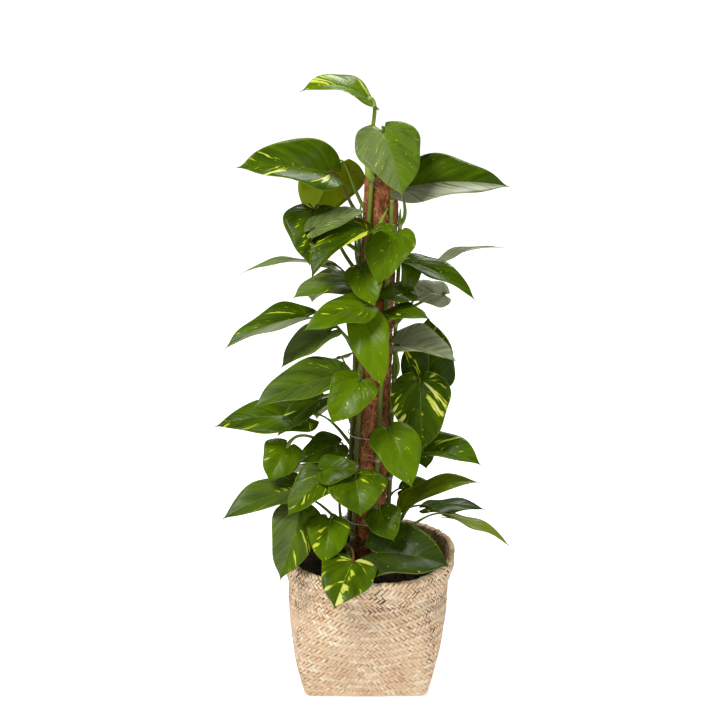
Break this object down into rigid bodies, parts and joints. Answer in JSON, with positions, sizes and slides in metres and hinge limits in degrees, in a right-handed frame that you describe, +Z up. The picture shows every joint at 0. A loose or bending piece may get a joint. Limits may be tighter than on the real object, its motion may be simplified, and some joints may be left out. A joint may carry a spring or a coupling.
{
  "type": "potted pothos plant",
  "caption": "Leafy pothos stems climbing a coir pole, rooted in a plastic nursery pot that stands in a woven basket.",
  "frame": {"origin": "centre of the basket's flat underside", "axes": "+Z up along the plant's height, -Y towards the viewer, +X to the viewer's right"},
  "size_m": [0.3737, 0.2895, 0.7768],
  "materials": {
    "seagrass": "woven dry grass, matte",
    "pot_plastic": "thin black plastic",
    "soil": "dark crumbly potting mix",
    "coir": "matted coir fibre",
    "stake": "plain round stake",
    "tie_wire": "thin bright wire",
    "foliage": "smooth waxy green, flecked cream"
  },
  "bodies": {
    "root": {"basket": "seagrass", "nursery_pot": "pot_plastic", "soil": "soil", "coir_pole": "coir", "pole_stake": "stake", "tie_1": "tie_wire", "tie_2": "tie_wire", "vine_a": "foliage", "vine_b": "foliage", "vine_c": "foliage", "vine_d": "foliage", "vine_e": "foliage", "vine_f": "foliage"}
  },
  "joints": []
}
